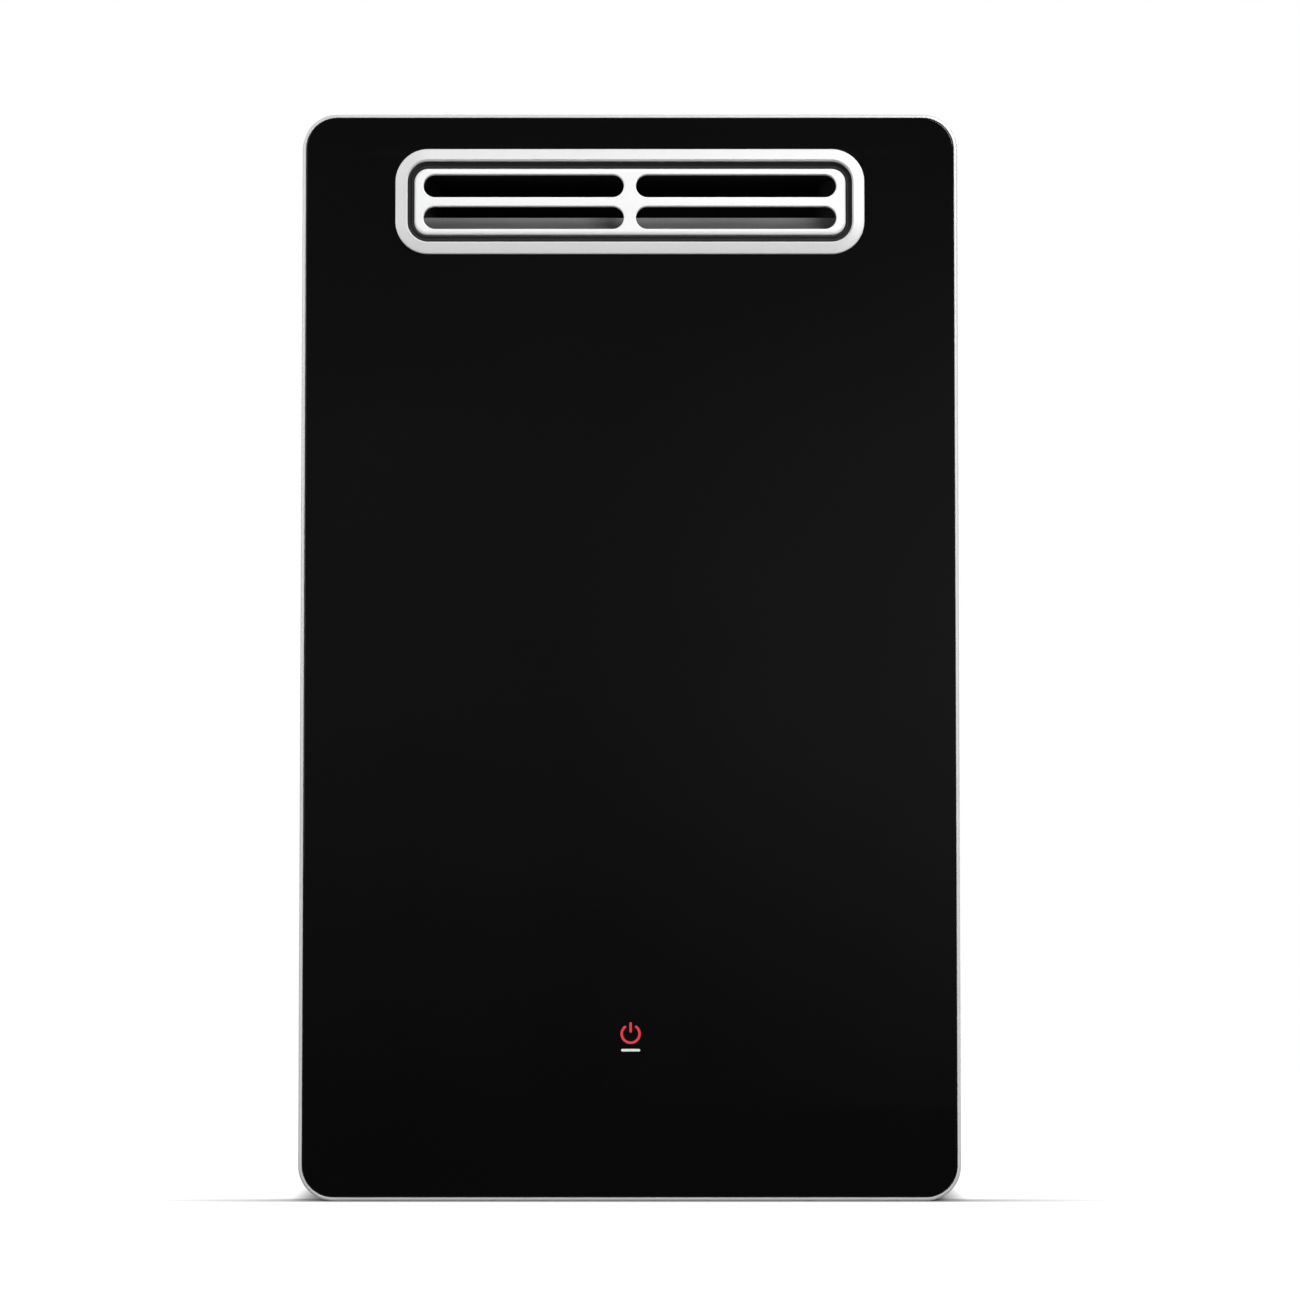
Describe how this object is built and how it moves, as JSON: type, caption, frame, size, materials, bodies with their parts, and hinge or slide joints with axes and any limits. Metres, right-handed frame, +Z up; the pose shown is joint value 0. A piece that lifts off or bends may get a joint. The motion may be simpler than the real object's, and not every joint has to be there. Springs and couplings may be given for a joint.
{
  "type": "tankless water heater",
  "caption": "Outdoor wall-hung tankless gas water heater with a gloss black glass front, silver frame, slotted exhaust outlet in the front and pipe connections underneath.",
  "frame": {"origin": "on the standing surface, under the middle of the heater's box", "axes": "+Z up, +X to the right of someone who faces the glass, the glass faces -Y and the wall is at +Y"},
  "size_m": [0.3936, 0.172, 0.672],
  "materials": {
    "case_paint": "satin silver-grey paint",
    "silver_trim": "satin silver",
    "grille_plate": "bright satin",
    "black_glass": "gloss, printed black behind",
    "black_rubber": "matt",
    "foam": "matt foam",
    "black_plastic": "fine texture",
    "grey_plastic": "fine texture",
    "white_plastic": "fine texture",
    "board": "solder mask",
    "galvanised": "zinc coated",
    "stainless": "brushed",
    "cast_aluminium": "die-cast",
    "brass": "machined",
    "copper": "drawn copper",
    "ceramic": "glazed ceramic",
    "lining": "ceramic fibre board",
    "mica": "mica",
    "steel_dark": "turned steel"
  },
  "bodies": {
    "heater": {"back_panel": "galvanised", "bottom_plate": "galvanised", "bottom_seal": "foam", "upper_wall_bracket": "galvanised", "lower_wall_bracket": "galvanised", "cold_water_inlet": "brass", "hot_water_outlet": "brass", "inlet_filter_plug": "black_plastic", "relief_valve": "brass", "flow_sensor_body": "grey_plastic", "flow_pickup": "black_plastic", "water_valve_body": "brass", "water_valve_motor": "steel_dark", "cold_water_pipe": "copper", "hot_water_pipe": "copper", "gas_valve_body": "cast_aluminium", "valve_coils": "black_plastic", "gas_pipe": "cast_aluminium", "gas_manifold": "cast_aluminium", "gas_nozzles": "brass", "burner_box": "galvanised", "burner_bars": "stainless", "combustion_chamber": "copper", "chamber_lining": "lining", "electrode_insulators": "ceramic", "electrode_rods": "stainless", "sight_pane": "mica", "igniter": "black_plastic", "exchanger_shell": "copper", "exchanger_tubes": "copper", "exchanger_fins": "copper", "exchanger_headers": "copper", "flue_hood": "stainless", "flue_baffle": "stainless", "column_brackets": "galvanised", "fan_housing": "galvanised", "fan_motor": "steel_dark", "power_supply": "grey_plastic", "control_case": "white_plastic", "control_lid": "white_plastic", "control_board": "board"},
    "cover": {"front_cover": "case_paint", "front_frame": "silver_trim", "glass_panel": "black_glass", "glass_tape": "foam", "exhaust_bezel": "silver_trim", "exhaust_grille": "grille_plate", "grille_seal": "black_rubber", "touch_board": "board", "touch_case": "black_plastic"},
    "fan": {"fan_impeller": "galvanised", "fan_shaft": "steel_dark"},
    "rotor": {"flow_rotor": "white_plastic"},
    "flap": {"water_valve_flap": "stainless"},
    "safety_core": {"safety_plunger": "steel_dark"},
    "modulating_core": {"modulating_plunger": "steel_dark"},
    "lever": {"relief_lever": "stainless"}
  },
  "joints": [
    {"name": "cover_slide", "type": "slide", "parent": "heater", "child": "cover", "axis": [0, -1, 0], "range_m": [0, 0.22]},
    {"name": "fan_spin", "type": "hinge", "parent": "heater", "child": "fan", "pos_m": [0.032, 0, 0.112], "axis": [0, 1, 0], "continuous": true},
    {"name": "flow_rotor_spin", "type": "hinge", "parent": "heater", "child": "rotor", "pos_m": [0.15, 0.044, 0.096], "axis": [0, 0, 1], "continuous": true},
    {"name": "water_valve_turn", "type": "hinge", "parent": "heater", "child": "flap", "pos_m": [0.15, 0.02, 0.1315], "axis": [0, 1, 0], "range_deg": [0, 90]},
    {"name": "safety_plunger_lift", "type": "slide", "parent": "heater", "child": "safety_core", "axis": [0, 0, 1], "range_m": [0, 0.003], "stiffness_N_per_m": 400},
    {"name": "modulating_plunger_lift", "type": "slide", "parent": "heater", "child": "modulating_core", "axis": [0, 0, 1], "range_m": [0, 0.003], "stiffness_N_per_m": 400},
    {"name": "relief_lever_turn", "type": "hinge", "parent": "heater", "child": "lever", "pos_m": [-0.15, 0.025, 0.028], "axis": [1, 0, 0], "range_deg": [0, 90], "stiffness_Nm_per_rad": 0.02}
  ]
}
